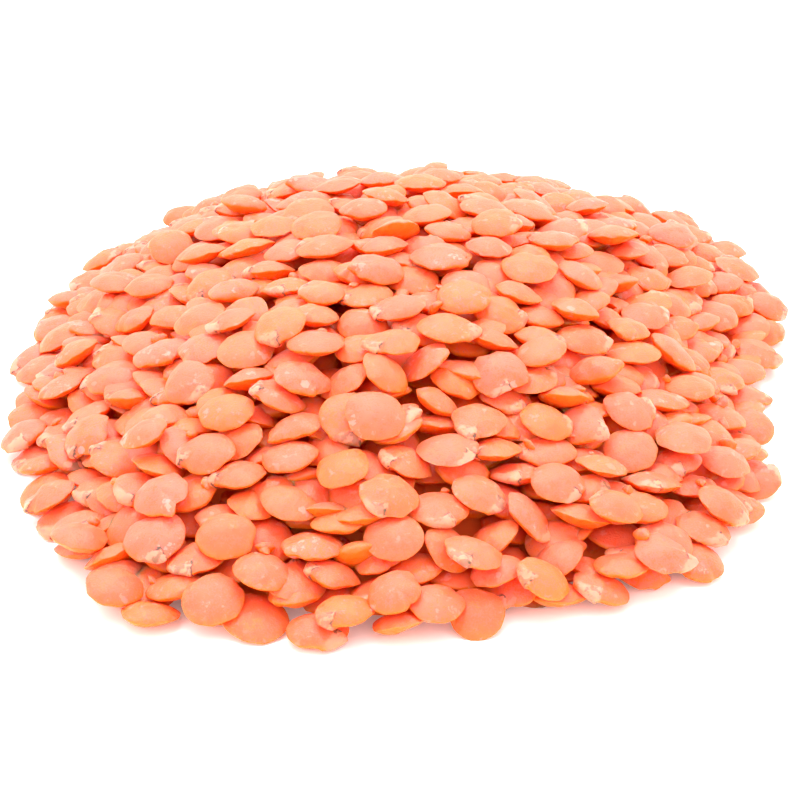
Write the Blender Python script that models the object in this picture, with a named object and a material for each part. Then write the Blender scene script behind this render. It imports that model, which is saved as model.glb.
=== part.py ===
"""A heap of dry red lentils, as it lies on a bare table, at its real size.

The heap is one solid: a smaller core, shaped like the heap, with every lentil that shows fused on.
The lentils are laid one after another from the table up, each in the lowest seat that it finds on
those below, until they fill the heap's form. Metres, +Z up, the table at Z = 0.
"""

import math

import bmesh
import bpy
import numpy as np
from mathutils import Vector
from mathutils.bvhtree import BVHTree

MM = 0.001

# The heap
HEAP_HEIGHT = 16.5 * MM
EDGE_HEIGHT = 1.8 * MM
SHOULDER_POWER = 2.1
TOE_POWER = 1.25
LUMP_HEIGHT = 0.5 * MM
LUMP_LENGTH = 8.0 * MM
# The footprint's radius every 15 degrees, anticlockwise from +X
FOOTPRINT_RADII = np.array([
    34.9, 38.8, 44.7, 49.5, 53.0, 55.3, 55.3, 53.8, 50.8, 46.5, 42.7, 39.3,
    37.3, 37.8, 39.5, 42.5, 49.1, 46.2, 46.9, 43.0, 44.0, 41.0, 37.3, 35.0,
]) * MM

# One lentil: a round lens with a blunt rim
LENTIL_RADIUS = 2.5 * MM
LENTIL_HALF_THICKNESS = 0.9 * MM
LENS_POWER = 0.85
SPREAD_OF_RADIUS = 0.06
SPREAD_OF_THICKNESS = 0.08
LEAST_ROUNDNESS = 0.9

# How a lentil feels what lies under it, on a height map of the heap so far
FEELER_RINGS = (0.3, 0.55, 0.75, 0.9, 1.0)
FEELERS_ROUND_RIM = 26
LEAST_FEELERS = 6
COVER_STEPS = 37
COVER_ROUND_RIM = 120
MAP_CELL = 0.2 * MM
MAP_HALF_WIDTH = 64.0 * MM

# Where a lentil is dropped
SEED = 7
PLACES_LOOKED_AT = 60
PLACES_TRIED = 4
LOOK_ROUND_REACH = 0.64
LOOK_ROUND_PLACES = 6
ROOM_FOR_ONE = 1.15 * MM
MOST_MISSES = 25
EDGE_MARGINS = (0.45, 1.0)

# How it settles: the costs are in metres of height
TILTS_TRIED = (0.0, 0.15, 0.3, 0.5, 0.7)
DIRECTIONS_TRIED = 8
NUDGE_ROUNDS = 5
NUDGES_A_ROUND = 24
NUDGE_LENGTH = 0.6 * MM
NUDGE_TILT = 0.1
NUDGE_SHRINK = 0.7
SPREAD_OF_TILT = 0.24
STEEP_SHARE = 0.05
STEEP_TILTS = (0.8, 1.0, 1.2)
COST_OF_TILT = 8.0 * MM
COST_ABOVE_HEAP = 3.0
COST_OUTSIDE = 9.0 * MM
CROWN_ABOVE_MIDDLE = 0.7
COST_STEP = 1e-6 * MM

# The solid's lentils and its core
OUTERMOST_SHARE = 0.9
LEAST_SHOWN = 2.0 * MM**2
SHOWN_SPACING = 3.7 * MM
RIM_SIDES = 6
RIM_REACH = 1.06
CROWN_RADIUS = 0.6
TABLE_GAP = 0.05 * MM
CORE_RINGS = (0.2, 0.45, 0.68, 0.87, 1.0)
CORE_SPOKES = len(FOOTPRINT_RADII)
CORE_INSET = 3.1 * MM
CORE_EDGE_HEIGHT = 1.6 * MM
CORE_SINK = 0.3 * MM
CORE_REACH = 2.5 * MM
LEAST_WEIGHT = 1e-9
MOST_ABOVE_CORE = 0.6

LENTIL_ORANGE = (0.93, 0.36, 0.18, 1.0)


def footprint_radius(angle):
    """The footprint's radius in each direction."""
    directions = np.arange(len(FOOTPRINT_RADII)) * 2 * math.pi / len(FOOTPRINT_RADII)
    return np.interp(angle, directions, FOOTPRINT_RADII, period=2 * math.pi)


def heap_top(x, y):
    """The height that the heap fills up to."""
    out = np.minimum(np.hypot(x, y) / footprint_radius(np.arctan2(y, x)), 1.0)
    dome = (1 - out**SHOULDER_POWER) ** TOE_POWER
    lumps = LUMP_HEIGHT * np.sin(x / LUMP_LENGTH) * np.cos(y / LUMP_LENGTH)
    height = EDGE_HEIGHT + (HEAP_HEIGHT - EDGE_HEIGHT + lumps) * dome
    return np.where(out < 1, height, 0.0)


def lens_height(radius):
    """Half the thickness of a lens of radius 1 and half thickness 1, at this distance from its axis."""
    return (1 - np.minimum(radius, 1) ** 2) ** LENS_POWER


def lens_feelers():
    """Points on the underside and rim of a unit lens, with which it feels what it rests on."""
    points = [(0.0, 0.0, -1.0)]
    for ring in FEELER_RINGS:
        count = max(LEAST_FEELERS, round(FEELERS_ROUND_RIM * ring))
        for k in range(count):
            angle = 2 * math.pi * (k + ring) / count
            points.append((ring * math.cos(angle), ring * math.sin(angle), -lens_height(ring)))
    return np.array(points)


def lens_cover():
    """Points all over the upper side of a unit lens, close enough to leave no gap in the height map."""
    steps = np.linspace(-1, 1, COVER_STEPS)
    x, y = np.meshgrid(steps, steps)
    x, y = x[np.hypot(x, y) <= 1], y[np.hypot(x, y) <= 1]
    rim = np.linspace(0, 2 * math.pi, COVER_ROUND_RIM, endpoint=False)
    x, y = np.concatenate([x, np.cos(rim)]), np.concatenate([y, np.sin(rim)])
    return np.stack([x, y, lens_height(np.hypot(x, y))], 1)


def turned(lean_x, lean_y, spin):
    """Rotations that spin a lens about its axis, then lean the axis towards (lean_x, lean_y)."""
    lean = np.hypot(lean_x, lean_y)
    safe = np.maximum(lean, 1e-9)
    axis_x, axis_y = -lean_y / safe, lean_x / safe
    c, s = np.cos(lean), np.sin(lean)
    zero, one = np.zeros_like(lean), np.ones_like(lean)
    leaning = np.stack([
        c + axis_x**2 * (1 - c), axis_x * axis_y * (1 - c), axis_y * s,
        axis_x * axis_y * (1 - c), c + axis_y**2 * (1 - c), -axis_x * s,
        -axis_y * s, axis_x * s, c,
    ], -1).reshape(lean.shape + (3, 3))
    spinning = np.stack([
        np.cos(spin), -np.sin(spin), zero,
        np.sin(spin), np.cos(spin), zero,
        zero, zero, one,
    ], -1).reshape(lean.shape + (3, 3))
    return leaning @ spinning


class HeightMap:
    """The heap as it grows: the height of its top at each cell, and which lentil is on top there."""

    def __init__(self):
        cells = round(2 * MAP_HALF_WIDTH / MAP_CELL) + 1
        self.last = cells - 1
        self.height = np.zeros((cells, cells))
        self.on_top = np.full((cells, cells), -1)

    def cell(self, x, y):
        i = np.rint((x + MAP_HALF_WIDTH) / MAP_CELL).astype(int)
        j = np.rint((y + MAP_HALF_WIDTH) / MAP_CELL).astype(int)
        return np.clip(i, 0, self.last), np.clip(j, 0, self.last)

    def at(self, x, y):
        return self.height[self.cell(x, y)]

    def mean_around(self, x, y):
        """The mean height over a lentil's width."""
        total = self.at(x, y)
        reach = LOOK_ROUND_REACH * LENTIL_RADIUS
        for k in range(LOOK_ROUND_PLACES):
            angle = 2 * math.pi * k / LOOK_ROUND_PLACES
            total = total + self.at(x + reach * math.cos(angle), y + reach * math.sin(angle))
        return total / (LOOK_ROUND_PLACES + 1)

    def add(self, points, number):
        i, j = self.cell(points[:, 0], points[:, 1])
        np.maximum.at(self.height, (i, j), points[:, 2])
        on_top = self.height[i, j] <= points[:, 2]
        self.on_top[i[on_top], j[on_top]] = number


def seat_height(heap, feelers, x, y, lean_x, lean_y, spin):
    """How high a lentil's middle comes to rest in each pose."""
    points = feelers @ np.swapaxes(turned(lean_x, lean_y, spin), -1, -2)
    below = heap.at(x[:, None] + points[..., 0], y[:, None] + points[..., 1])
    return (below - points[..., 2]).max(1)


def inside_edge(angle, margin):
    """How far out a lentil's middle may lie, with this much left to the footprint's edge."""
    return footprint_radius(angle) - margin


def in_steps(cost):
    """The cost in whole steps, so that a tie is a tie on every machine."""
    return np.round(cost / COST_STEP)


def seat_cost(x, y, z, margin, off_x, off_y):
    """The lower and the nearer to its own tilt the better, but inside the heap's form and its footprint."""
    over = np.maximum(0, z - (heap_top(x, y) - CROWN_ABOVE_MIDDLE * LENTIL_HALF_THICKNESS))
    outside = np.hypot(x, y) > inside_edge(np.arctan2(y, x), margin)
    untilted = off_x**2 + off_y**2
    return in_steps(z + COST_ABOVE_HEAP * over + COST_OF_TILT * untilted + COST_OUTSIDE * outside)


def lay_lentil(heap, number, draw, feelers, cover):
    """Lays one more lentil and returns its middle, rotation and size, or None where it finds no room."""
    radius = LENTIL_RADIUS * draw.normal(1, SPREAD_OF_RADIUS)
    thickness = LENTIL_HALF_THICKNESS * draw.normal(1, SPREAD_OF_THICKNESS)
    size = np.array([radius, radius * draw.uniform(LEAST_ROUNDNESS, 1), thickness])
    spin = draw.uniform(0, 2 * math.pi)
    margin = radius * draw.uniform(*EDGE_MARGINS)
    tilts = STEEP_TILTS if draw.uniform() < STEEP_SHARE else TILTS_TRIED
    own_x, own_y = draw.normal(0, SPREAD_OF_TILT, 2)

    angle = draw.uniform(0, 2 * math.pi, PLACES_LOOKED_AT)
    out = np.sqrt(draw.uniform(0, 1, PLACES_LOOKED_AT)) * inside_edge(angle, margin)
    x, y = out * np.cos(angle), out * np.sin(angle)
    height = heap.mean_around(x, y)
    room = heap_top(x, y) - height > ROOM_FOR_ONE
    if not room.any():
        return None
    lowest = np.argsort(in_steps(height[room]), kind="stable")[:PLACES_TRIED]
    x, y = x[room][lowest], y[room][lowest]

    lean, way = np.meshgrid(tilts, np.arange(DIRECTIONS_TRIED) * 2 * math.pi / DIRECTIONS_TRIED)
    lean_x, lean_y = (lean * np.cos(way)).ravel(), (lean * np.sin(way)).ravel()
    places, poses = len(x), len(lean_x)
    x, y = np.repeat(x, poses), np.repeat(y, poses)
    lean_x, lean_y = np.tile(lean_x, places), np.tile(lean_y, places)
    best = None
    for step in range(NUDGE_ROUNDS + 1):
        z = seat_height(heap, feelers * size, x, y, lean_x, lean_y, spin + 0 * x)
        cost = seat_cost(x, y, z, margin, lean_x - own_x, lean_y - own_y)
        k = int(np.argmin(cost))
        if best is None or cost[k] < best[0]:
            best = (cost[k], x[k], y[k], z[k], lean_x[k], lean_y[k])
        moves = draw.normal(0, 1, (4, NUDGES_A_ROUND)) * NUDGE_SHRINK**step
        x, y = best[1] + moves[0] * NUDGE_LENGTH, best[2] + moves[1] * NUDGE_LENGTH
        lean_x, lean_y = best[4] + moves[2] * NUDGE_TILT, best[5] + moves[3] * NUDGE_TILT

    _, x, y, z, lean_x, lean_y = best
    rotation = turned(np.array(lean_x), np.array(lean_y), np.array(spin))
    heap.add((cover * size) @ rotation.T + (x, y, z), number)
    return {"middle": np.array([x, y, z]), "rotation": rotation, "size": size}


def lay_heap():
    """All the lentils, from the table up, and the height map that they leave."""
    draw = np.random.default_rng(SEED)
    feelers, cover = lens_feelers(), lens_cover()
    heap, lentils, misses = HeightMap(), [], 0
    while misses < MOST_MISSES:
        lentil = lay_lentil(heap, len(lentils), draw, feelers, cover)
        if lentil is None:
            misses += 1
        else:
            lentils.append(lentil)
            misses = 0
    return heap, lentils


def half_height(lentil):
    """How far a lentil reaches above its middle as it lies."""
    return float(np.linalg.norm(lentil["rotation"][2] * lentil["size"]))


def shown_lentils(heap, lentils):
    """Lentils that show from above, evenly spread: the highest, the outermost, then those that show most."""
    areas = np.bincount(heap.on_top[heap.on_top >= 0], minlength=len(lentils)) * MAP_CELL**2
    middles = np.array([lentil["middle"] for lentil in lentils])
    x, y = middles[:, 0], middles[:, 1]
    out = np.hypot(x, y) / footprint_radius(np.arctan2(y, x))
    outermost = out > OUTERMOST_SHARE
    highest = np.argmax(middles[:, 2] + [half_height(lentil) for lentil in lentils])
    chosen = []
    for k in (highest, *np.lexsort((np.where(outermost, -out, -areas), ~outermost))):
        apart = np.linalg.norm(middles[chosen] - middles[k], axis=1)
        if areas[k] > LEAST_SHOWN and (apart > SHOWN_SPACING).all():
            chosen.append(k)
    return [lentils[k] for k in chosen]


def core_height(x, y, shown):
    """A smooth surface a little under the middles of the lentils that show."""
    middles = np.array([lentil["middle"] for lentil in shown])
    away = (middles[:, 0] - x) ** 2 + (middles[:, 1] - y) ** 2
    weight = np.exp(-away / (2 * CORE_REACH**2)) + LEAST_WEIGHT
    return float((weight * middles[:, 2]).sum() / weight.sum()) - CORE_SINK


def make_core(shown):
    """The heap's inside: rings of points from the middle out, at core_height, and a flat base."""
    shape = bmesh.new()
    peak = shape.verts.new((0, 0, core_height(0, 0, shown)))
    rings = []
    for k, share in enumerate(CORE_RINGS):
        ring = []
        for spoke in range(CORE_SPOKES):
            angle = 2 * math.pi * (spoke + 0.5 * (k % 2)) / CORE_SPOKES
            out = (float(footprint_radius(angle)) - CORE_INSET) * share
            x, y = out * math.cos(angle), out * math.sin(angle)
            height = core_height(x, y, shown) if share < 1 else CORE_EDGE_HEIGHT
            ring.append(shape.verts.new((x, y, height)))
        rings.append(ring)
    rings.append([shape.verts.new((v.co.x, v.co.y, 0)) for v in rings[-1]])
    for spoke in range(CORE_SPOKES):
        nearby = (spoke + 1) % CORE_SPOKES
        shape.faces.new((peak, rings[0][spoke], rings[0][nearby]))
        for inner, outer in zip(rings, rings[1:]):
            shape.faces.new((inner[spoke], outer[spoke], outer[nearby], inner[nearby]))
    shape.faces.new(reversed(rings[-1]))
    bmesh.ops.triangulate(shape, faces=shape.faces[:])
    return make_object("lentil_heap", shape)


def surface_of(made):
    """The mesh's faces, ready to be hit by a ray."""
    return BVHTree.FromPolygons(
        [vertex.co for vertex in made.data.vertices],
        [face.vertices for face in made.data.polygons],
    )


def rest_on_core(surface, lentil):
    """Keeps a lentil's middle just above the core: its upper side shows and its lower side fuses."""
    x, y, z = lentil["middle"]
    below = surface.ray_cast(Vector((x, y, 1)), Vector((0, 0, -1)))[0]
    if below:
        z = max(z, below.z)
    level = below.z if below else CORE_EDGE_HEIGHT
    z = min(z, level + MOST_ABOVE_CORE * half_height(lentil))
    lentil["middle"] = np.array([x, y, z])


def make_lentil(lentil, name):
    """A lens with a six-sided rim and a three-sided crown, in its place."""
    shape = bmesh.new()
    rotation, size, middle = lentil["rotation"], lentil["size"], lentil["middle"]

    def corner(radius, angle, side):
        point = np.array([radius * math.cos(angle), radius * math.sin(angle), side * lens_height(radius)])
        x, y, z = rotation @ (point * size) + middle
        return shape.verts.new((x, y, max(z, TABLE_GAP)))

    turn = 2 * math.pi / RIM_SIDES
    rim = [corner(RIM_REACH, k * turn, 0) for k in range(RIM_SIDES)]
    crown = [corner(CROWN_RADIUS, (2 * k + 0.5) * turn, 1) for k in range(RIM_SIDES // 2)]
    foot = corner(0.0, 0.0, -1)
    for k in range(RIM_SIDES):
        after = (k + 1) % RIM_SIDES
        shape.faces.new((rim[k], rim[after], crown[k // 2]))
        shape.faces.new((rim[after], rim[k], foot))
    for k in range(RIM_SIDES // 2):
        after = (k + 1) % (RIM_SIDES // 2)
        shape.faces.new((rim[(2 * k + 2) % RIM_SIDES], crown[after], crown[k]))
    shape.faces.new(crown)
    return make_object(name, shape)


def make_object(name, shape):
    mesh = bpy.data.meshes.new(name)
    shape.to_mesh(mesh)
    shape.free()
    made = bpy.data.objects.new(name, mesh)
    bpy.context.scene.collection.objects.link(made)
    return made


def fuse(core, pieces):
    """Joins the pieces to the core by one union, then removes them."""
    group = bpy.data.collections.new("fused_lentils")
    bpy.context.scene.collection.children.link(group)
    for piece in pieces:
        bpy.context.scene.collection.objects.unlink(piece)
        group.objects.link(piece)
    union = core.modifiers.new("Fuse", "BOOLEAN")
    union.operation = "UNION"
    union.operand_type = "COLLECTION"
    union.collection = group
    union.solver = "MANIFOLD"
    bpy.context.view_layer.objects.active = core
    core.select_set(True)
    bpy.ops.object.modifier_apply(modifier=union.name)
    for piece in pieces:
        bpy.data.objects.remove(piece)
    bpy.data.collections.remove(group)


def drop_scraps(made):
    """Removes every part of the mesh but the largest."""
    shape = bmesh.new()
    shape.from_mesh(made.data)
    left, parts = set(shape.verts), []
    while left:
        part, front = set(), [left.pop()]
        while front:
            vertex = front.pop()
            part.add(vertex)
            for edge in vertex.link_edges:
                other = edge.other_vert(vertex)
                if other in left:
                    left.discard(other)
                    front.append(other)
        parts.append(part)
    parts.sort(key=len)
    scraps = [vertex for part in parts[:-1] for vertex in part]
    bmesh.ops.delete(shape, geom=scraps, context="VERTS")
    print(len(parts) - 1, "scraps,", sum(len(f.verts) - 2 for f in shape.faces), "triangles")
    shape.to_mesh(made.data)
    shape.free()


def heap_middle(lentils):
    """The middle of the table area that the lentils cover."""
    middles = np.array([lentil["middle"][:2] for lentil in lentils])
    return (middles.min(0) + middles.max(0)) / 2


def stand_at_origin(made, lentils):
    """Moves the mesh so that the middle of its base is the origin."""
    x, y = heap_middle(lentils)
    for vertex in made.data.vertices:
        vertex.co -= Vector((x, y, 0))


def paint(made):
    material = bpy.data.materials.new("lentil")
    material.use_nodes = True
    surface = material.node_tree.nodes["Principled BSDF"]
    surface.inputs["Base Color"].default_value = LENTIL_ORANGE
    surface.inputs["Roughness"].default_value = 0.6
    made.data.materials.append(material)


def main():
    for thing in list(bpy.data.objects):
        bpy.data.objects.remove(thing)
    heap, lentils = lay_heap()
    shown = shown_lentils(heap, lentils)
    core = make_core(shown)
    surface, pieces = surface_of(core), []
    for k, lentil in enumerate(shown):
        rest_on_core(surface, lentil)
        pieces.append(make_lentil(lentil, f"lentil_{k}"))
    fuse(core, pieces)
    drop_scraps(core)
    stand_at_origin(core, lentils)
    paint(core)
    print(len(lentils), "lentils laid,", len(shown), "on the core")


main()
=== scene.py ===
import math

import bpy
import numpy as np
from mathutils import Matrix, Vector


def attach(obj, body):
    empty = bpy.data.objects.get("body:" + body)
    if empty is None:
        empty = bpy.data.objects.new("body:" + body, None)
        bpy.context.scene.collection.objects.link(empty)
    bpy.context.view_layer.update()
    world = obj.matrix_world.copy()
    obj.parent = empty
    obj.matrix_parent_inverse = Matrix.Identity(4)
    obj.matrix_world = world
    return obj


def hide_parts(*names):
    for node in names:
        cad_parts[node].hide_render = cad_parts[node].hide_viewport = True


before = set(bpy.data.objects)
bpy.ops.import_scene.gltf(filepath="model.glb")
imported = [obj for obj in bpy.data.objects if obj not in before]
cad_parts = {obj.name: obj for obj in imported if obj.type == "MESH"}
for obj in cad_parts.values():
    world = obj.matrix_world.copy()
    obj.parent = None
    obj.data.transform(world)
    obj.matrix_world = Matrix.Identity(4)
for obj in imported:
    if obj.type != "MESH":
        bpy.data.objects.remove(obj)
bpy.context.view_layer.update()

# The pour
# A handful of hulled red lentils, tipped out on a bare table. They lie as they fell: each one in the
# lowest seat near it on those below, most of them nearly flat, a few on edge.

MM = 0.001

HEAP_HEIGHT = 16.5 * MM
EDGE_HEIGHT = 1.8 * MM
SHOULDER_POWER = 2.1
TOE_POWER = 1.25
LUMP_HEIGHT = 0.5 * MM
LUMP_LENGTH = 8.0 * MM
# The footprint's radius every 15 degrees, anticlockwise from +X
FOOTPRINT_RADII = np.array([
    34.9, 38.8, 44.7, 49.5, 53.0, 55.3, 55.3, 53.8, 50.8, 46.5, 42.7, 39.3,
    37.3, 37.8, 39.5, 42.5, 49.1, 46.2, 46.9, 43.0, 44.0, 41.0, 37.3, 35.0,
]) * MM

# One lentil: a round lens with a blunt rim
LENTIL_RADIUS = 2.5 * MM
LENTIL_HALF_THICKNESS = 0.9 * MM
LENS_POWER = 0.85
SPREAD_OF_RADIUS = 0.06
SPREAD_OF_THICKNESS = 0.08
LEAST_ROUNDNESS = 0.9

# How a lentil feels what lies under it, on a height map of the heap so far
FEELER_RINGS = (0.3, 0.55, 0.75, 0.9, 1.0)
FEELERS_ROUND_RIM = 26
LEAST_FEELERS = 6
COVER_STEPS = 37
COVER_ROUND_RIM = 120
MAP_CELL = 0.2 * MM
MAP_HALF_WIDTH = 64.0 * MM

# Where a lentil is dropped
SEED = 7
PLACES_LOOKED_AT = 60
PLACES_TRIED = 4
LOOK_ROUND_REACH = 0.64
LOOK_ROUND_PLACES = 6
ROOM_FOR_ONE = 1.15 * MM
MOST_MISSES = 25
EDGE_MARGINS = (0.45, 1.0)

# How it settles: the costs are in metres of height
TILTS_TRIED = (0.0, 0.15, 0.3, 0.5, 0.7)
DIRECTIONS_TRIED = 8
NUDGE_ROUNDS = 5
NUDGES_A_ROUND = 24
NUDGE_LENGTH = 0.6 * MM
NUDGE_TILT = 0.1
NUDGE_SHRINK = 0.7
SPREAD_OF_TILT = 0.24
STEEP_SHARE = 0.05
STEEP_TILTS = (0.8, 1.0, 1.2)
COST_OF_TILT = 8.0 * MM
COST_ABOVE_HEAP = 3.0
COST_OUTSIDE = 9.0 * MM
CROWN_ABOVE_MIDDLE = 0.7
COST_STEP = 1e-6 * MM
LEAST_LEAN = 1e-9


def footprint_radius(angle):
    """The footprint's radius in each direction."""
    directions = np.arange(len(FOOTPRINT_RADII)) * 2 * math.pi / len(FOOTPRINT_RADII)
    return np.interp(angle, directions, FOOTPRINT_RADII, period=2 * math.pi)


def heap_top(x, y):
    """The height that the heap fills up to."""
    out = np.minimum(np.hypot(x, y) / footprint_radius(np.arctan2(y, x)), 1.0)
    dome = (1 - out**SHOULDER_POWER) ** TOE_POWER
    lumps = LUMP_HEIGHT * np.sin(x / LUMP_LENGTH) * np.cos(y / LUMP_LENGTH)
    height = EDGE_HEIGHT + (HEAP_HEIGHT - EDGE_HEIGHT + lumps) * dome
    return np.where(out < 1, height, 0.0)


def lens_height(radius):
    """Half the thickness of a lens of radius 1 and half thickness 1, at this distance from its axis."""
    return (1 - np.minimum(radius, 1) ** 2) ** LENS_POWER


def lens_feelers():
    """Points on the underside and rim of a unit lens, with which it feels what it rests on."""
    points = [(0.0, 0.0, -1.0)]
    for ring in FEELER_RINGS:
        count = max(LEAST_FEELERS, round(FEELERS_ROUND_RIM * ring))
        for k in range(count):
            angle = 2 * math.pi * (k + ring) / count
            points.append((ring * math.cos(angle), ring * math.sin(angle), -lens_height(ring)))
    return np.array(points)


def lens_cover():
    """Points all over the upper side of a unit lens, close enough to leave no gap in the height map."""
    steps = np.linspace(-1, 1, COVER_STEPS)
    x, y = np.meshgrid(steps, steps)
    x, y = x[np.hypot(x, y) <= 1], y[np.hypot(x, y) <= 1]
    rim = np.linspace(0, 2 * math.pi, COVER_ROUND_RIM, endpoint=False)
    x, y = np.concatenate([x, np.cos(rim)]), np.concatenate([y, np.sin(rim)])
    return np.stack([x, y, lens_height(np.hypot(x, y))], 1)


def turned(lean_x, lean_y, spin):
    """Rotations that spin a lens about its axis, then lean the axis towards (lean_x, lean_y)."""
    lean = np.hypot(lean_x, lean_y)
    safe = np.maximum(lean, LEAST_LEAN)
    axis_x, axis_y = -lean_y / safe, lean_x / safe
    c, s = np.cos(lean), np.sin(lean)
    zero, one = np.zeros_like(lean), np.ones_like(lean)
    leaning = np.stack([
        c + axis_x**2 * (1 - c), axis_x * axis_y * (1 - c), axis_y * s,
        axis_x * axis_y * (1 - c), c + axis_y**2 * (1 - c), -axis_x * s,
        -axis_y * s, axis_x * s, c,
    ], -1).reshape(lean.shape + (3, 3))
    spinning = np.stack([
        np.cos(spin), -np.sin(spin), zero,
        np.sin(spin), np.cos(spin), zero,
        zero, zero, one,
    ], -1).reshape(lean.shape + (3, 3))
    return leaning @ spinning


class HeightMap:
    """The heap as it grows: the height of its top at each cell, and which lentil is on top there."""

    def __init__(self):
        cells = round(2 * MAP_HALF_WIDTH / MAP_CELL) + 1
        self.last = cells - 1
        self.height = np.zeros((cells, cells))
        self.on_top = np.full((cells, cells), -1)

    def cell(self, x, y):
        i = np.rint((x + MAP_HALF_WIDTH) / MAP_CELL).astype(int)
        j = np.rint((y + MAP_HALF_WIDTH) / MAP_CELL).astype(int)
        return np.clip(i, 0, self.last), np.clip(j, 0, self.last)

    def at(self, x, y):
        return self.height[self.cell(x, y)]

    def mean_around(self, x, y):
        """The mean height over a lentil's width."""
        total = self.at(x, y)
        reach = LOOK_ROUND_REACH * LENTIL_RADIUS
        for k in range(LOOK_ROUND_PLACES):
            angle = 2 * math.pi * k / LOOK_ROUND_PLACES
            total = total + self.at(x + reach * math.cos(angle), y + reach * math.sin(angle))
        return total / (LOOK_ROUND_PLACES + 1)

    def add(self, points, number):
        i, j = self.cell(points[:, 0], points[:, 1])
        np.maximum.at(self.height, (i, j), points[:, 2])
        on_top = self.height[i, j] <= points[:, 2]
        self.on_top[i[on_top], j[on_top]] = number


def seat_height(heap, feelers, x, y, lean_x, lean_y, spin):
    """How high a lentil's middle comes to rest in each pose."""
    points = feelers @ np.swapaxes(turned(lean_x, lean_y, spin), -1, -2)
    below = heap.at(x[:, None] + points[..., 0], y[:, None] + points[..., 1])
    return (below - points[..., 2]).max(1)


def inside_edge(angle, margin):
    """How far out a lentil's middle may lie, with this much left to the footprint's edge."""
    return footprint_radius(angle) - margin


def in_steps(cost):
    """The cost in whole steps, so that a tie is a tie on every machine."""
    return np.round(cost / COST_STEP)


def seat_cost(x, y, z, margin, off_x, off_y):
    """The lower and the nearer to its own tilt the better, but inside the heap's form and its footprint."""
    over = np.maximum(0, z - (heap_top(x, y) - CROWN_ABOVE_MIDDLE * LENTIL_HALF_THICKNESS))
    outside = np.hypot(x, y) > inside_edge(np.arctan2(y, x), margin)
    untilted = off_x**2 + off_y**2
    return in_steps(z + COST_ABOVE_HEAP * over + COST_OF_TILT * untilted + COST_OUTSIDE * outside)


def lay_lentil(heap, number, draw, feelers, cover):
    """Lays one more lentil and returns its middle, rotation and size, or None where it finds no room."""
    radius = LENTIL_RADIUS * draw.normal(1, SPREAD_OF_RADIUS)
    thickness = LENTIL_HALF_THICKNESS * draw.normal(1, SPREAD_OF_THICKNESS)
    size = np.array([radius, radius * draw.uniform(LEAST_ROUNDNESS, 1), thickness])
    spin = draw.uniform(0, 2 * math.pi)
    margin = radius * draw.uniform(*EDGE_MARGINS)
    tilts = STEEP_TILTS if draw.uniform() < STEEP_SHARE else TILTS_TRIED
    own_x, own_y = draw.normal(0, SPREAD_OF_TILT, 2)

    angle = draw.uniform(0, 2 * math.pi, PLACES_LOOKED_AT)
    out = np.sqrt(draw.uniform(0, 1, PLACES_LOOKED_AT)) * inside_edge(angle, margin)
    x, y = out * np.cos(angle), out * np.sin(angle)
    height = heap.mean_around(x, y)
    room = heap_top(x, y) - height > ROOM_FOR_ONE
    if not room.any():
        return None
    lowest = np.argsort(in_steps(height[room]), kind="stable")[:PLACES_TRIED]
    x, y = x[room][lowest], y[room][lowest]

    lean, way = np.meshgrid(tilts, np.arange(DIRECTIONS_TRIED) * 2 * math.pi / DIRECTIONS_TRIED)
    lean_x, lean_y = (lean * np.cos(way)).ravel(), (lean * np.sin(way)).ravel()
    places, poses = len(x), len(lean_x)
    x, y = np.repeat(x, poses), np.repeat(y, poses)
    lean_x, lean_y = np.tile(lean_x, places), np.tile(lean_y, places)
    best = None
    for step in range(NUDGE_ROUNDS + 1):
        z = seat_height(heap, feelers * size, x, y, lean_x, lean_y, spin + 0 * x)
        cost = seat_cost(x, y, z, margin, lean_x - own_x, lean_y - own_y)
        k = int(np.argmin(cost))
        if best is None or cost[k] < best[0]:
            best = (cost[k], x[k], y[k], z[k], lean_x[k], lean_y[k])
        moves = draw.normal(0, 1, (4, NUDGES_A_ROUND)) * NUDGE_SHRINK**step
        x, y = best[1] + moves[0] * NUDGE_LENGTH, best[2] + moves[1] * NUDGE_LENGTH
        lean_x, lean_y = best[4] + moves[2] * NUDGE_TILT, best[5] + moves[3] * NUDGE_TILT

    _, x, y, z, lean_x, lean_y = best
    rotation = turned(np.array(lean_x), np.array(lean_y), np.array(spin))
    heap.add((cover * size) @ rotation.T + (x, y, z), number)
    return {"middle": np.array([x, y, z]), "rotation": rotation, "size": size}


def lay_heap():
    """All the lentils, from the table up, and the height map that they leave."""
    draw = np.random.default_rng(SEED)
    feelers, cover = lens_feelers(), lens_cover()
    heap, lentils, misses = HeightMap(), [], 0
    while misses < MOST_MISSES:
        lentil = lay_lentil(heap, len(lentils), draw, feelers, cover)
        if lentil is None:
            misses += 1
        else:
            lentils.append(lentil)
            misses = 0
    return heap, lentils


heap, lentils = lay_heap()
middles = np.array([lentil["middle"] for lentil in lentils])
rotations = np.array([lentil["rotation"] for lentil in lentils])
sizes = np.array([lentil["size"] for lentil in lentils])
heap_middle = (middles[:, :2].min(0) + middles[:, :2].max(0)) / 2

# The sorting
# The lentils that show are dealt out by chance to four kinds: whole and plump, rubbed down at the rim
# by the hulling, still holding their pale germ, or beaked. Those underneath show only through gaps.

SORTING_SEED = 3
LEAST_SHOWN = 1.2 * MM**2
TOE_SHARE = 0.86
BURIED_DEPTH = 6.0 * MM
KIND_SHARES = (0.21, 0.25, 0.28, 0.26)

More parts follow.
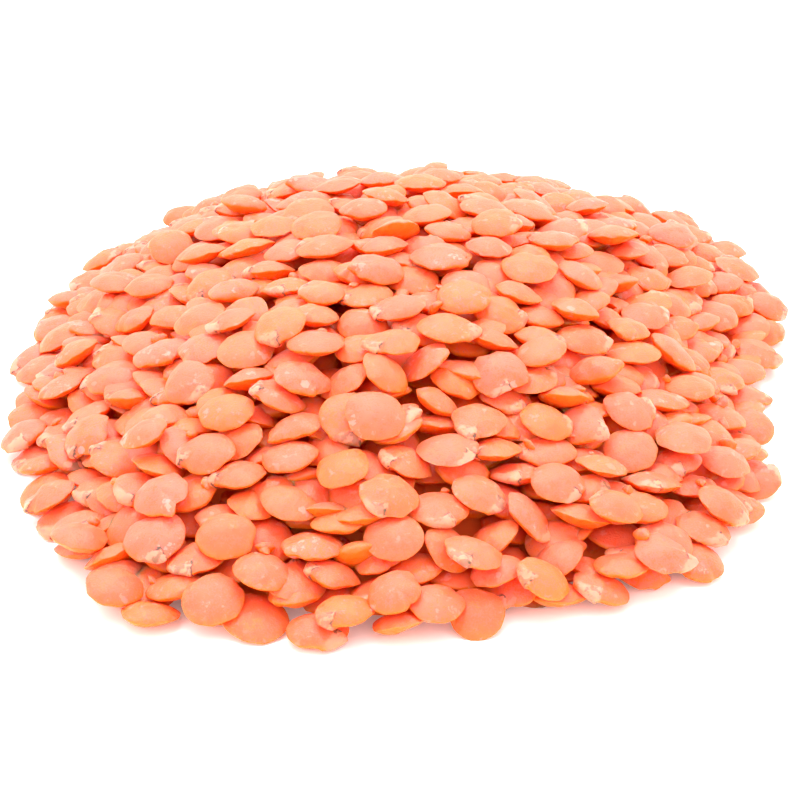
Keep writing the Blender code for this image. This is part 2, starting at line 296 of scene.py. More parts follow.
areas = np.bincount(heap.on_top[heap.on_top >= 0], minlength=len(lentils)) * MAP_CELL**2
depths = heap_top(middles[:, 0], middles[:, 1]) - middles[:, 2]
outs = np.hypot(middles[:, 0], middles[:, 1]) / footprint_radius(np.arctan2(middles[:, 1], middles[:, 0]))
at_toe = outs > TOE_SHARE
shown = np.flatnonzero((areas > LEAST_SHOWN) | at_toe & (areas > 0))
under = np.setdiff1d(np.flatnonzero((depths < BURIED_DEPTH) | at_toe), shown)
dealt = np.random.default_rng(SORTING_SEED).choice(len(KIND_SHARES), len(shown), p=KIND_SHARES)
whole, rubbed, germed, beaked = (shown[dealt == kind] for kind in range(len(KIND_SHARES)))

# The whole lentils
# A hulled red lentil is the two halves of the seed still together: a lens about 5 mm across, matt and
# a little powdery, smooth on its faces, with a blunt rim where the two halves meet.

WHOLE_SEED = 11

# A lens's points lie on rings out from the middle of each face, on spokes that crowd where the germ is
RINGS = (0.24, 0.45, 0.63, 0.77, 0.87, 0.94, 0.985)
SPOKES = 36
SPOKE_CROWDING = 0.45

# Its outline: lengths are shares of its radius, and angles are radians from the germ's side
OUTLINE_WAVES = ((2, 0.025), (3, 0.022), (4, 0.014), (5, 0.009))
TIP_ANGLE = 0.30
TIP_WIDTH = 0.20
NOTCH_ANGLE = 0.66
NOTCH_WIDTH = 0.18
NOTCH_SHARE = 0.8
BEAK_SPREAD = (0.3, 1.4)
OUTLINE_CUTS = 3
CUT_PLACES = (0.91, 1.03)
FARTHEST_CHIP = 1.05
LEAST_FACING = 0.3

# Its faces
BLUNTNESS = (0.66, 1.0)
LOPSIDEDNESS = 0.15
DENT_PLACE = 0.5
DENT_SPREAD = 0.12
DENT_DEPTH = 0.2
RIM_WAVES = (3, 5, 7, 10)
RIM_WAVE_HEIGHT = 0.032 * MM
RIM_WAVE_POWER = 4
FACE_RIPPLES = 3
RIPPLE_DEPTH = 0.035 * MM
RIPPLE_LENGTH = 1.9 * MM
RIPPLE_SPREAD = (0.6, 1.4)
RIPPLE_SHIFT = 2

# The germ along its rim
GERM_START, GERM_END = -0.70, 0.46
GERM_TAIL_WIDTH, GERM_HEAD_WIDTH = 0.05, 0.34
GERM_OFF_RIM = 0.05
GERM_TAIL_SLOPE = 0.15
GERM_HEAD_SLOPE = 0.08
GERM_SIDE_SLOPE = 0.06
GERM_RISE = 0.15 * MM

# The flats that the hulling rubs on it
SHAVE_TILTS = (0.25, 1.4)
SHAVE_SPREAD = (0.3, 1.2)
WORN_SHARE = 0.4


def lens_grid(rings, spokes):
    """A lens as rings of points: distance out, angle, side, and its faces. Crowded towards angle 0."""
    turn = 2 * math.pi * np.arange(spokes) / spokes
    turn = turn - SPOKE_CROWDING * np.sin(turn)
    out = [0.0] + [ring for ring in rings for _ in turn] + [1.0] * spokes
    out = np.array(out + [ring for ring in rings[::-1] for _ in turn] + [0.0])
    ring_count = 2 * len(rings) + 1
    angle = np.concatenate([[0.0], np.tile(turn, ring_count), [0.0]])
    half = 1 + len(rings) * spokes
    side = np.concatenate([np.ones(half), np.zeros(spokes), -np.ones(half)])
    here = np.arange(spokes)
    after = (here + 1) % spokes
    caps = [np.stack([0 * here, 1 + here, 1 + after], 1)]
    quads = []
    for ring in range(ring_count - 1):
        inner = 1 + ring * spokes
        outer = inner + spokes
        quads.append(np.stack([inner + here, outer + here, outer + after, inner + after], 1))
    last = 1 + (ring_count - 1) * spokes
    caps.append(np.stack([0 * here + len(out) - 1, last + after, last + here], 1))
    return out, angle, side, np.concatenate(caps), np.concatenate(quads)


class Chance:
    """Draws for a lot of lentils: each call gives one number for every lentil."""

    def __init__(self, draw, count):
        self.draw = draw
        self.shape = (count, 1)

    def between(self, low, high):
        return self.draw.uniform(low, high, self.shape)

    def within(self, most):
        return self.between(-most, most)

    def direction(self):
        return self.between(0, 2 * math.pi)

    def bell(self):
        return self.draw.normal(0, 1, self.shape)


def cut_off(reach, angle, direction, place):
    """The outline cut off straight, square to this direction, at this place."""
    return np.minimum(reach, place / np.maximum(np.cos(angle - direction), LEAST_FACING))


def outline_reach(angle, turn, chance, waves, beak, chip):
    """How far out each lentil's rim lies at each angle: nearly round, with a beak and a few flats."""
    reach = np.ones((chance.shape[0], len(angle)))
    for order, depth in OUTLINE_WAVES:
        strength = waves * depth * chance.bell()
        reach += strength * np.cos(order * angle + chance.direction())
    tip = np.exp(-((turn - TIP_ANGLE) / TIP_WIDTH) ** 2)
    notch = np.exp(-((turn - NOTCH_ANGLE) / NOTCH_WIDTH) ** 2)
    reach += beak * chance.between(*BEAK_SPREAD) * (tip - NOTCH_SHARE * notch)
    for _ in range(OUTLINE_CUTS):
        direction = chance.direction()
        reach = cut_off(reach, angle, direction, chance.between(*CUT_PLACES))
    chip_place = chance.between(chip, FARTHEST_CHIP)
    return cut_off(reach, angle, chance.direction(), chip_place)


def face_rise(out, unit_x, unit_y, side, chance):
    """How thick each lentil is at each point: a lens, a little lopsided, some with a dent above."""
    lens = (1 - out**2) ** chance.between(*BLUNTNESS)
    slope_x, slope_y = chance.within(LOPSIDEDNESS), chance.within(LOPSIDEDNESS)
    dent_x, dent_y = chance.within(DENT_PLACE), chance.within(DENT_PLACE)
    dent = np.exp(-((unit_x - dent_x) ** 2 + (unit_y - dent_y) ** 2) / DENT_SPREAD)
    dent_depth = np.maximum(0, chance.within(DENT_DEPTH))
    return lens * (1 + slope_x * unit_x + slope_y * unit_y) - dent_depth * dent * (side > 0)


def add_ripples(points, out, angle, side, chance, waves):
    """Lets the rim wander up and down, and the faces ripple."""
    for order in RIM_WAVES:
        wave = np.cos(order * angle + chance.direction())
        points[..., 2] += RIM_WAVE_HEIGHT * waves * out**RIM_WAVE_POWER * wave
    for _ in range(FACE_RIPPLES):
        way, start = chance.direction(), chance.direction() + RIPPLE_SHIFT * side
        along = (points[..., 0] * np.cos(way) + points[..., 1] * np.sin(way)) * 2 * math.pi / RIPPLE_LENGTH
        ripple = np.sin(along * chance.between(*RIPPLE_SPREAD) + start)
        points[..., 2] += RIPPLE_DEPTH * ripple * (1 - out**2)


def germ_cover(turn, across):
    """How much of the germ lies over each place by the rim: a wedge along it, blunt at its head."""
    along = (turn - GERM_START) / (GERM_END - GERM_START)
    width = GERM_TAIL_WIDTH + (GERM_HEAD_WIDTH - GERM_TAIL_WIDTH) * np.clip(along, 0, 1)
    inside = np.clip((width - np.abs(across - GERM_OFF_RIM)) / GERM_SIDE_SLOPE + 0.5, 0, 1)
    tail = np.clip((turn - GERM_START) / GERM_TAIL_SLOPE, 0, 1)
    head = np.clip((GERM_END - turn) / GERM_HEAD_SLOPE + 0.5, 0, 1)
    return inside * tail * head


def shave_flats(points, chance, shaves, shave_depth):
    """Rubs flats on the lentils, above and below by turns, and says how worn that leaves each point."""
    worn = np.zeros(points.shape[:2])
    for shave in range(shaves):
        tilt, facing = chance.between(*SHAVE_TILTS) * (-1) ** shave, chance.direction()
        normal = np.stack([np.cos(tilt) * np.cos(facing), np.cos(tilt) * np.sin(facing), np.sin(tilt)], -1)
        height = (points * normal).sum(-1)
        flat = height.max(1, keepdims=True) - chance.between(*SHAVE_SPREAD) * shave_depth
        over = np.maximum(0, height - flat)
        points -= over[..., None] * normal
        worn = np.maximum(worn, np.minimum(over / (WORN_SHARE * shave_depth), 1))
    return worn


def shaped_lentils(lot, draw, grid, waves=1.0, shaves=4, shave_depth=0.05 * MM, beak=0.03, chip=0.95,
                   germ=0.0, germ_turn=math.pi):
    """Points of these lentils in their places, and where each point lies on its own lentil."""
    seats, leans, widths = lot
    out, angle, side = grid[:3]
    turn = (angle + math.pi) % (2 * math.pi) - math.pi
    unit_x, unit_y = out * np.cos(angle), out * np.sin(angle)
    chance = Chance(draw, len(seats))
    reach = outline_reach(angle, turn, chance, waves, beak, chip)
    rise = face_rise(out, unit_x, unit_y, side, chance)

    downhill = np.einsum("nji,nj->ni", leans, seats * (1, 1, 0))
    spin = np.arctan2(downhill[:, 1:2], downhill[:, :1]) + chance.within(germ_turn)
    way_x, way_y = np.cos(angle + spin), np.sin(angle + spin)
    points = np.stack([out * reach * way_x, out * reach * way_y, side * rise], -1) * widths[:, None, :]
    add_ripples(points, out, angle, side, chance, waves)
    cover = germ * germ_cover(turn, side * (1 - out))
    points += GERM_RISE * cover[..., None] * np.stack([way_x, way_y, side + 0 * way_x], -1)
    worn = shave_flats(points, chance, shaves, shave_depth)

    points = points @ np.swapaxes(leans, -1, -2) + seats[:, None, :]
    points[..., :2] -= heap_middle
    points[..., 2] = np.maximum(points[..., 2], 0)
    across = (1 - out) * np.where(side, side, 1)
    place = np.broadcast_to(np.stack([unit_x, unit_y, across], -1), points.shape)
    own = np.broadcast_to(draw.uniform(0, 1, (len(seats), 1, 3)), points.shape)
    return points.reshape(-1, 3), place.reshape(-1, 3), own.reshape(-1, 3), worn.ravel()


def laid(which):
    """Where these lentils of the heap lie, how they are turned, and their sizes."""
    return middles[which], rotations[which], sizes[which]


def lentil_piece(name, lot, draw, grid, finish, **shape):
    """One mesh of all the lentils in a lot."""
    points, place, own, worn = shaped_lentils(lot, draw, grid, **shape)
    count = len(lot[0])
    out, _, _, caps, quads = grid
    starts = (np.arange(count) * len(out))[:, None, None]
    caps, quads = (starts + caps).reshape(-1, 3), (starts + quads).reshape(-1, 4)
    mesh = bpy.data.meshes.new(name)
    mesh.vertices.add(len(points))
    mesh.vertices.foreach_set("co", points.ravel())
    mesh.loops.add(caps.size + quads.size)
    mesh.loops.foreach_set("vertex_index", np.concatenate([caps.ravel(), quads.ravel()]))
    mesh.polygons.add(len(caps) + len(quads))
    sides = np.concatenate([np.full(len(caps), 3), np.full(len(quads), 4)])
    mesh.polygons.foreach_set("loop_start", np.concatenate([[0], np.cumsum(sides)[:-1]]))
    mesh.update(calc_edges=True)
    mesh.shade_smooth()
    for field, values in (("place", place), ("own", own)):
        mesh.attributes.new(field, "FLOAT_VECTOR", "POINT").data.foreach_set("vector", values.ravel())
    mesh.attributes.new("worn", "FLOAT", "POINT").data.foreach_set("value", worn)
    mesh.materials.append(finish.material)
    piece = bpy.data.objects.new(name, mesh)
    bpy.context.scene.collection.objects.link(piece)
    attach(piece, "root")
    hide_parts("lentil_heap")
    print(name, count, "lentils,", len(caps) + 2 * len(quads), "triangles")
    return piece


class Finish:
    """A material's nodes, built up step by step."""

    def __init__(self, name):
        self.material = bpy.data.materials.new(name)
        self.material.use_nodes = True
        self.tree = self.material.node_tree
        self.surface = self.tree.nodes["Principled BSDF"]
        self.where = self.tree.nodes.new("ShaderNodeTexCoord").outputs["Object"]

    def feed(self, socket, value):
        if isinstance(value, bpy.types.NodeSocket):
            self.tree.links.new(value, socket)
        else:
            socket.default_value = value

    def maths(self, operation, *values):
        node = self.tree.nodes.new("ShaderNodeMath")
        node.operation = operation
        for socket, value in zip(node.inputs, values):
            self.feed(socket, value)
        return node.outputs[0]

    def total(self, first, second):
        return self.maths("ADD", first, second)

    def product(self, first, *others):
        for other in others:
            first = self.maths("MULTIPLY", first, other)
        return first

    def ramp(self, value, low, high, to_low=0.0, to_high=1.0):
        node = self.tree.nodes.new("ShaderNodeMapRange")
        node.interpolation_type = "SMOOTHSTEP"
        for socket, given in zip(node.inputs, (value, low, high, to_low, to_high)):
            self.feed(socket, given)
        return node.outputs[0]

    def noise(self, size, detail=2.0):
        node = self.tree.nodes.new("ShaderNodeTexNoise")
        self.tree.links.new(self.where, node.inputs["Vector"])
        node.inputs["Scale"].default_value = 1 / size
        node.inputs["Detail"].default_value = detail
        return node.outputs["Fac"]

    def mixed(self, share, first, second):
        node = self.tree.nodes.new("ShaderNodeMix")
        node.data_type = "RGBA"
        self.feed(node.inputs["Factor"], share)
        for socket, colour in zip([put for put in node.inputs if put.type == "RGBA"], (first, second)):
            self.feed(socket, colour)
        return next(out for out in node.outputs if out.type == "RGBA")

    def parts(self, vector):
        node = self.tree.nodes.new("ShaderNodeSeparateXYZ")
        self.tree.links.new(vector, node.inputs[0])
        return node.outputs

    def field(self, name):
        node = self.tree.nodes.new("ShaderNodeAttribute")
        node.attribute_name = name
        return self.parts(node.outputs["Vector"])


# The flesh: from pink to orange in patches, yellow where it is rubbed, and painted shade underneath: a
# deeper, more saturated orange on what faces down
FLESH_PINK = (0.89, 0.134, 0.048, 1)
FLESH_ORANGE = (0.89, 0.155, 0.030, 1)
# Painted shade: the deeper, more saturated orange of what faces down
PAINTED_SHADE_BELOW = (0.93, 0.175, 0.012, 1)
RUBBED_YELLOW = (0.89, 0.180, 0.022, 1)
BROAD_PATCH = 2.6 * MM
MIDDLE_PATCH = 0.6 * MM
MIDDLE_DETAIL = 3
FINE_PATCH = 0.15 * MM
PATCHINESS = 1.4
PINK_TO_ORANGE = (1.35, 2.05)
RIM_BAND = (0.34, 0.04)
RIM_SHARE = 0.8
RUBBED_PATCHES = (0.42, 0.56)
FACING_UP = (0.0, 0.85)

# The powder of the hulling, laid on what faces up, so that it is also painted light on the tops, and its
# flour and specks
# Partly the hulling's powder, partly painted light on the tops
POWDER_AND_TOP_LIGHT = (0.86, 0.160, 0.100, 1)
FLOUR = (0.92, 0.275, 0.210, 1)
SPECK = (0.40, 0.08, 0.03, 1)
DUST_SHARE = 0.25
DUSTY = (0.98, 1.20)
FLOUR_SPOTS = (0.58, 0.68)
FLOUR_AREAS = (0.48, 0.62)
SPECKS = (0.66, 0.74)
SPECK_SHARE = 0.6
RAGGEDNESS = 0.36
SCAR_OUT = 0.66
SCAR_ALONG = 0.60
SCAR_RAGGEDNESS = 0.55
SCAR_SPREAD = (0.020, 0.004)
SCARRED = (0.2, 0.5)

# The germ's colours, and the dark line round its head
GERM_CREAM = (0.92, 0.300, 0.195, 1)
GERM_GREY = (0.36, 0.18, 0.11, 1)
GERM_LINE = (0.11, 0.06, 0.04, 1)
GERM_SIDE_FADE = (-0.05, 0.08)
GERM_HEAD_FADE = 0.06
GERM_TAIL_FADE = 0.5
GERM_STEP = 0.001
GREY_TINT = 0.2
GREY_PATCHES = (0.60, 0.70)
GERM_CLEARNESS = (0.7, 1.0)
LINE_STRENGTH = 4.0
LINE_FADE = (0.6, 0.1)
LINE_PATCHES = (0.42, 0.52)

# The surface is matt and finely grained, and light goes a little way into it
ROUGH_PATCHES = (0.3, 0.7)
ROUGHNESS = (0.38, 0.56)
FINE_GRAIN = 0.4
GRAIN_STRENGTH = 0.7
GRAIN_HEIGHT = 0.12 * MM
LIGHT_DEPTH = 0.9 * MM
LIGHT_DEPTHS_BY_COLOUR = (1.6, 0.30, 0.08)
SHINE = 0.45


class LentilFinish(Finish):
    """Salmon flesh, powdery above, with painted light on what faces up and painted shade on what faces
    down, rubbed yellow where it is worn, with its germ by the rim.
    """

    def __init__(self, name, yellow, germ, scar, powder_and_top_light):
        super().__init__(name)
        self.place_x, self.place_y, self.across = self.field("place")
        self.worn = self.field("worn")[0]
        self.tint, self.dust, self.chance = self.field("own")
        self.broad = self.noise(BROAD_PATCH)
        self.middle = self.noise(MIDDLE_PATCH, MIDDLE_DETAIL)
        self.fine = self.noise(FINE_PATCH)
        self.ragged = self.maths("MULTIPLY_ADD", self.middle, RAGGEDNESS, -RAGGEDNESS / 2)
        # How much each point faces up: it lays painted light on the tops and painted shade, a deeper
        # orange, on the undersides
        normal = self.tree.nodes.new("ShaderNodeNewGeometry").outputs["Normal"]
        self.painted_light_facing_up = self.ramp(self.parts(normal)["Z"], *FACING_UP)
        colour = self.flesh(yellow)
        colour = self.powdered(colour, powder_and_top_light)
        colour = self.scarred(colour, scar)
        colour = self.with_germ(colour, germ)
        self.feed(self.surface.inputs["Base Color"], colour)
        self.lay_grain()

    def flesh(self, yellow):
        """Pink to orange in patches, yellow where it is rubbed, and painted shade underneath: a deeper
        orange on what faces down.
        """
        patches = self.maths("MULTIPLY_ADD", self.middle, PATCHINESS, self.total(self.tint, self.broad))
        colour = self.mixed(self.ramp(patches, *PINK_TO_ORANGE), FLESH_PINK, FLESH_ORANGE)
        by_rim = self.ramp(self.maths("ABSOLUTE", self.across), *RIM_BAND)
        rubbed_here = self.maths("MAXIMUM", self.worn, self.product(by_rim, RIM_SHARE))
        rubbed_here = self.product(rubbed_here, self.ramp(self.middle, *RUBBED_PATCHES), yellow)
        colour = self.mixed(rubbed_here, colour, RUBBED_YELLOW)
        # Painted shade: what faces down takes the deeper orange
        return self.mixed(self.painted_light_facing_up, PAINTED_SHADE_BELOW, colour)

    def powdered(self, colour, powder_and_top_light):
        """Powder on what faces up, which is also painted light on the tops, flour in a few spots, and
        specks.
        """
        grains = self.maths("MULTIPLY_ADD", self.dust, DUST_SHARE, self.total(self.middle, self.fine))
        # Dust and painted light: the pale powder goes only where the surface faces up
        dust_and_top_light = self.product(self.ramp(grains, *DUSTY), self.painted_light_facing_up, powder_and_top_light)
        colour = self.mixed(dust_and_top_light, colour, POWDER_AND_TOP_LIGHT)
        spots = self.ramp(self.middle, *FLOUR_SPOTS)
        floury = self.product(spots, self.ramp(self.broad, *FLOUR_AREAS), powder_and_top_light)
        colour = self.mixed(floury, colour, FLOUR)
        return self.mixed(self.ramp(self.fine, *SPECKS, 0.0, SPECK_SHARE), colour, SPECK)

    def scarred(self, colour, scar):
        """A ragged floury scar near the rim, where a bit has broken off."""
        off_x = self.maths("SUBTRACT", self.place_x, SCAR_OUT)
        off_y = self.maths("SUBTRACT", self.place_y, self.product(self.chance, SCAR_ALONG))
        from_scar = self.total(self.product(off_x, off_x), self.product(off_y, off_y))
        from_scar = self.maths("MULTIPLY_ADD", self.ragged, SCAR_RAGGEDNESS, from_scar)
        scar_here = self.product(self.ramp(from_scar, *SCAR_SPREAD), self.ramp(self.dust, *SCARRED), scar)
        return self.mixed(scar_here, colour, FLOUR)

    def with_germ(self, colour, germ):
        """A cream or grey wedge along the rim, with a dark line round its head."""
        angle = self.maths("ARCTAN2", self.place_y, self.place_x)
        off = self.maths("ABSOLUTE", self.maths("SUBTRACT", self.across, GERM_OFF_RIM))
        width = self.ramp(angle, GERM_START, GERM_END, GERM_TAIL_WIDTH, GERM_HEAD_WIDTH)
        inside = self.ramp(self.maths("SUBTRACT", width, self.total(off, self.ragged)), *GERM_SIDE_FADE)
        head_start, head_end = GERM_END + GERM_HEAD_FADE, GERM_END - GERM_HEAD_FADE
        head = self.ramp(self.total(angle, self.ragged), head_start, head_end)
        tail = self.ramp(angle, GERM_START, GERM_START + GERM_TAIL_FADE)
        has_germ = self.ramp(self.chance, 1 - germ - GERM_STEP, 1 - germ)
        germ_here = self.product(inside, head, tail, has_germ)
        greyness = self.ramp(self.total(self.product(self.tint, GREY_TINT), self.middle), *GREY_PATCHES)
        pale = self.mixed(greyness, GERM_CREAM, GERM_GREY)
        clearness = self.ramp(self.dust, 0, 1, *GERM_CLEARNESS)
        colour = self.mixed(self.product(germ_here, clearness), colour, pale)
        edge = self.product(germ_here, self.maths("SUBTRACT", 1.0, germ_here), LINE_STRENGTH)
        by_head = self.ramp(angle, GERM_END - LINE_FADE[0], GERM_END - LINE_FADE[1])
        line = self.product(edge, by_head, self.ramp(self.middle, *LINE_PATCHES))
        return self.mixed(line, colour, GERM_LINE)

    def lay_grain(self):
        """The grain of the surface, and the light that goes into it."""
        roughness = self.ramp(self.middle, *ROUGH_PATCHES, *ROUGHNESS)
        bump = self.tree.nodes.new("ShaderNodeBump")
        bump.inputs["Strength"].default_value = GRAIN_STRENGTH
        bump.inputs["Distance"].default_value = GRAIN_HEIGHT
        self.feed(bump.inputs["Height"], self.total(self.product(self.fine, FINE_GRAIN), self.middle))
        for name, value in (
            ("Roughness", roughness),
            ("Normal", bump.outputs["Normal"]),
            ("Subsurface Weight", 1.0),
            ("Subsurface Radius", LIGHT_DEPTHS_BY_COLOUR),
            ("Subsurface Scale", LIGHT_DEPTH),
            ("Specular IOR Level", SHINE),
        ):
            self.feed(self.surface.inputs[name], value)


fine_grid = lens_grid(RINGS, SPOKES)
whole_finish = LentilFinish("whole_lentil", yellow=0.5, germ=0.1, scar=0.8, powder_and_top_light=0.6)
lentil_piece("whole_lentils", laid(whole), np.random.default_rng(WHOLE_SEED), fine_grid, whole_finish,
             shaves=4, shave_depth=0.05 * MM)

# The rubbed lentils
# The hulling stones have rubbed these flat in small facets round the rim, and the flesh bared there is
# yellower than the powdery faces.

RUBBED_SEED = 12
rubbed_finish = LentilFinish("rubbed_lentil", yellow=1.0, germ=0.15, scar=0.5, powder_and_top_light=0.7)
lentil_piece("rubbed_lentils", laid(rubbed), np.random.default_rng(RUBBED_SEED), fine_grid, rubbed_finish,
             waves=1.1, shaves=12, shave_depth=0.10 * MM)

# The lentils with their germ
# The germ still sits between the two halves: a cream wedge along the rim that stands a little proud,
# with a dark line round its head.

GERMED_SEED = 13
germed_finish = LentilFinish("germed_lentil", yellow=0.6, germ=1.0, scar=0.3, powder_and_top_light=0.7)
lentil_piece("germed_lentils", laid(germed), np.random.default_rng(GERMED_SEED), fine_grid, germed_finish,
             shaves=5, shave_depth=0.06 * MM, beak=0.08, chip=0.88, germ=1.0, germ_turn=1.4)

# The beaked lentils
# Here the germ has mostly broken off in the hulling. The rim keeps a point with a notch beside it,
# dusted with pale flour.

BEAKED_SEED = 14
beaked_finish = LentilFinish("beaked_lentil", yellow=0.7, germ=0.35, scar=1.0, powder_and_top_light=0.9)
lentil_piece("beaked_lentils", laid(beaked), np.random.default_rng(BEAKED_SEED), fine_grid, beaked_finish,
             waves=1.3, shaves=7, shave_depth=0.08 * MM, beak=0.15, chip=0.7, germ=0.5, germ_turn=1.4)

# The chips
# Bits that the hulling broke off the lentils: the same flesh, with more flats and corners. They have
# fallen into the hollows between the lentils on top.

CHIP_SEED = 16
CHIPS = 90
CHIP_PLACES = 4000
CHIP_RADIUS = (0.45 * MM, 0.95 * MM)
CHIP_NARROWNESS = (0.6, 1)
CHIP_FLATNESS = (0.45, 0.8)
CHIP_SEAT = 0.6
CHIP_LEAN = 0.4
CHIP_RINGS = (0.5, 0.85)
CHIP_SPOKES = 18
HOLLOW_DEPTH = (0.45 * MM, 1.6 * MM)
SCATTER_SHARE = 0.9


def scattered(draw, count):
    """Places all over the heap: direction, x, y, and how deep a hollow each place lies in."""
    way = draw.uniform(0, 2 * math.pi, count)
    reach = np.sqrt(draw.uniform(0, SCATTER_SHARE, count)) * footprint_radius(way)
    x, y = reach * np.cos(way), reach * np.sin(way)
    return way, x, y, heap.mean_around(x, y) - heap.at(x, y)


chip_draw = np.random.default_rng(CHIP_SEED)
way, x, y, hollow = scattered(chip_draw, CHIP_PLACES)
kept = np.flatnonzero((hollow > HOLLOW_DEPTH[0]) & (hollow < HOLLOW_DEPTH[1]))[:CHIPS]
radius = chip_draw.uniform(*CHIP_RADIUS, len(kept))
narrow = radius * chip_draw.uniform(*CHIP_NARROWNESS, len(kept))
flat = radius * chip_draw.uniform(*CHIP_FLATNESS, len(kept))
lean_x, lean_y = chip_draw.normal(0, CHIP_LEAN, (2, len(kept)))
z = heap.at(x[kept], y[kept]) + CHIP_SEAT * flat
chips = (np.stack([x[kept], y[kept], z], 1), turned(lean_x, lean_y, way[:len(kept)]),
         np.stack([radius, narrow, flat], 1))
chip_finish = LentilFinish("lentil_chip", yellow=0.9, germ=0.3, scar=0.5, powder_and_top_light=1.0)
lentil_piece("chips", chips, chip_draw, lens_grid(CHIP_RINGS, CHIP_SPOKES), chip_finish,
             waves=2.0, shaves=9, shave_depth=0.16 * MM, beak=0.1, chip=0.5)

# The settled lentils
# A real heap has shaken down closer than one that is laid lentil by lentil. These fill its deepest
# hollows, lying nearly flat with their rims hidden by those on top.

SETTLED_SEED = 17
SETTLED = 175
SETTLED_PLACES = 12000
SETTLED_DEPTH = 0.7 * MM
SETTLED_APART = 2.3 * MM
SETTLED_LEAN = 0.25
SETTLED_SINK = 0.1

settled_draw = np.random.default_rng(SETTLED_SEED)
way, x, y, hollow = scattered(settled_draw, SETTLED_PLACES)
kept = []
for place in np.argsort(-hollow, kind="stable"):
    apart = np.hypot(x[kept] - x[place], y[kept] - y[place])
    if hollow[place] > SETTLED_DEPTH and len(kept) < SETTLED and (apart > SETTLED_APART).all():
        kept.append(place)
settled_sizes = sizes[settled_draw.choice(under, len(kept))]
lean_x, lean_y = settled_draw.normal(0, SETTLED_LEAN, (2, len(kept)))
z = heap.at(x[kept], y[kept]) - SETTLED_SINK * settled_sizes[:, 2]
settled = np.stack([x[kept], y[kept], z], 1), turned(lean_x, lean_y, way[kept]), settled_sizes
settled_finish = LentilFinish("settled_lentil", yellow=0.7, germ=0.5, scar=0.8, powder_and_top_light=0.7)
lentil_piece("settled_lentils", settled, settled_draw, fine_grid, settled_finish,
             waves=1.2, shaves=6, shave_depth=0.08 * MM, beak=0.08, germ=0.5)

# The lentils underneath
# The same whole lentils, seen only as bits between those on top, so their meshes are plainer and
# nothing is rubbed off them.

UNDER_SEED = 15
UNDER_RINGS = (0.5, 0.85)
UNDER_SPOKES = 14
lentil_piece("under_lentils", laid(under), np.random.default_rng(UNDER_SEED),
             lens_grid(UNDER_RINGS, UNDER_SPOKES), whole_finish, shaves=0)

# The middle of the heap
# What lies deeper is more of the same lentils, seen only as a warm dark behind the gaps, so one plain
# lumpy mound with a flat base stands for them.

MOUND_DEPTH = 4.8 * MM
MOUND_INSET = 6.5 * MM
MOUND_RINGS = 24
MOUND_SPOKES = 72
MOUND_EDGE = 0.6 * MM
# Painted light: a lighter orange than the lentils' own, brightening the gaps that show the mound
MOUND_PAINTED_LIGHT = (0.95, 0.20, 0.015, 1)
MOUND_PATCH = 2.0 * MM
MOUND_ROUGHNESS = 0.8

shares = np.linspace(0, 1, MOUND_RINGS + 1)[1:]
directions = np.arange(MOUND_SPOKES) * 2 * math.pi / MOUND_SPOKES
share, angle = np.meshgrid(shares, directions, indexing="ij")
reach = share * (footprint_radius(angle) - MOUND_INSET)
mound_x, mound_y = reach * np.cos(angle), reach * np.sin(angle)
mound_z = np.maximum(heap_top(mound_x, mound_y) - MOUND_DEPTH, MOUND_EDGE)
top = np.stack([mound_x, mound_y, mound_z], -1).reshape(-1, 3)
rim = np.stack([mound_x[-1], mound_y[-1], 0 * mound_x[-1]], -1)
peak = [[0, 0, float(heap_top(0, 0)) - MOUND_DEPTH]]
points = np.concatenate([top, rim, peak])
points[:, :2] -= heap_middle
faces = []
for spoke in range(MOUND_SPOKES):
    beside = (spoke + 1) % MOUND_SPOKES
    faces.append([len(points) - 1, spoke, beside])
    for start in range(0, MOUND_RINGS * MOUND_SPOKES, MOUND_SPOKES):
        below = start + MOUND_SPOKES
        faces.append([start + spoke, below + spoke, below + beside, start + beside])
faces.append([MOUND_RINGS * MOUND_SPOKES + spoke for spoke in reversed(range(MOUND_SPOKES))])
mesh = bpy.data.meshes.new("mound")
mesh.from_pydata(points.tolist(), [], faces)
mound_finish = Finish("lentils_in_the_dark")
# Painted light in the gaps, in patches with the plain orange flesh
mound_patches = mound_finish.mixed(mound_finish.noise(MOUND_PATCH), MOUND_PAINTED_LIGHT, FLESH_ORANGE)
mound_finish.feed(mound_finish.surface.inputs["Base Color"], mound_patches)
mound_finish.surface.inputs["Roughness"].default_value = MOUND_ROUGHNESS
mesh.materials.append(mound_finish.material)
mound = bpy.data.objects.new("mound", mesh)
bpy.context.scene.collection.objects.link(mound)
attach(mound, "root")
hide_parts("lentil_heap")
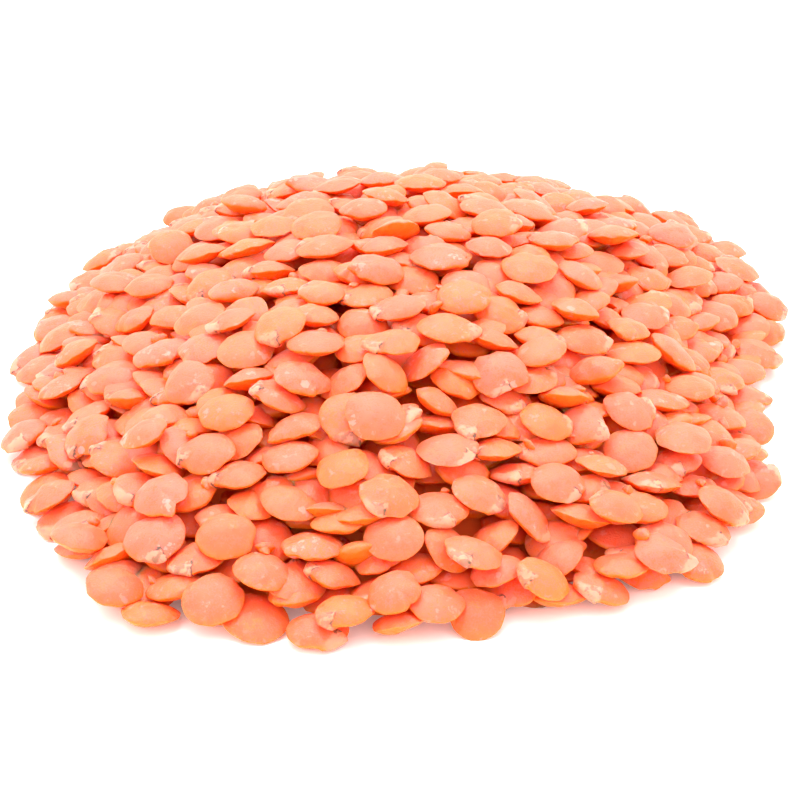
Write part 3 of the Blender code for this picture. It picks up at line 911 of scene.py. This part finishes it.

# The table and the light
# A matt white table with a faint painted glow that lifts the shade round the heap, under one broad soft
# light overhead and a little behind the heap, in a white room.

TABLE_WIDTH = 4.0
TABLE_WHITE = (0.96, 0.96, 0.96, 1)
TABLE_ROUGHNESS = 0.8
TABLE_PAINTED_GLOW = 0.1
WHITE = (1, 1, 1, 1)
LIGHT_PLACE = Vector((-0.04, 0.2, 0.58))
LIGHT_WIDTH = 0.5
LIGHT_POWER = 3.7
ROOM_BRIGHTNESS = 2.0

bpy.ops.mesh.primitive_plane_add(size=TABLE_WIDTH)
table = bpy.context.object
table.name = "table"
table_finish = Finish("white_table")
table_finish.surface.inputs["Base Color"].default_value = TABLE_WHITE
table_finish.surface.inputs["Roughness"].default_value = TABLE_ROUGHNESS
table_finish.surface.inputs["Emission Color"].default_value = WHITE
# Painted glow: the table gives off light though it is no lamp, lifting the shade round the heap
table_finish.surface.inputs["Emission Strength"].default_value = TABLE_PAINTED_GLOW
table.data.materials.append(table_finish.material)

light_data = bpy.data.lights.new("softbox", "AREA")
light_data.size = LIGHT_WIDTH
light_data.energy = LIGHT_POWER
light = bpy.data.objects.new("softbox", light_data)
light.location = LIGHT_PLACE
light.rotation_euler = (-LIGHT_PLACE).to_track_quat("-Z", "Y").to_euler()
bpy.context.scene.collection.objects.link(light)

world = bpy.data.worlds.new("studio")
world.use_nodes = True
world.node_tree.nodes["Background"].inputs["Color"].default_value = WHITE
world.node_tree.nodes["Background"].inputs["Strength"].default_value = ROOM_BRIGHTNESS
bpy.context.scene.world = world
bpy.context.scene.view_settings.view_transform = "Standard"

# The camera
# It stands about 20 cm in front of the heap's middle and looks down on its front slope, through a
# lens 2.75 times as long as its sensor is wide.

CAMERA_FOCUS = 2.75
CAMERA_DIP = math.radians(26)
CAMERA_HEIGHT = 93.2 * MM
CAMERA_BACK = 191.7 * MM
CAMERA_LEFT = 0.5 * MM
CAMERA_NEAREST = 1 * MM
SENSOR_WIDTH = 36.0

camera_data = bpy.data.cameras.new("camera")
camera_data.sensor_width = SENSOR_WIDTH
camera_data.lens = CAMERA_FOCUS * SENSOR_WIDTH
camera_data.clip_start = CAMERA_NEAREST
camera = bpy.data.objects.new("camera", camera_data)
camera.location = (-CAMERA_LEFT - heap_middle[0], -CAMERA_BACK - heap_middle[1], CAMERA_HEIGHT)
camera.rotation_euler = (math.pi / 2 - CAMERA_DIP, 0, 0)
bpy.context.scene.collection.objects.link(camera)
bpy.context.scene.camera = camera
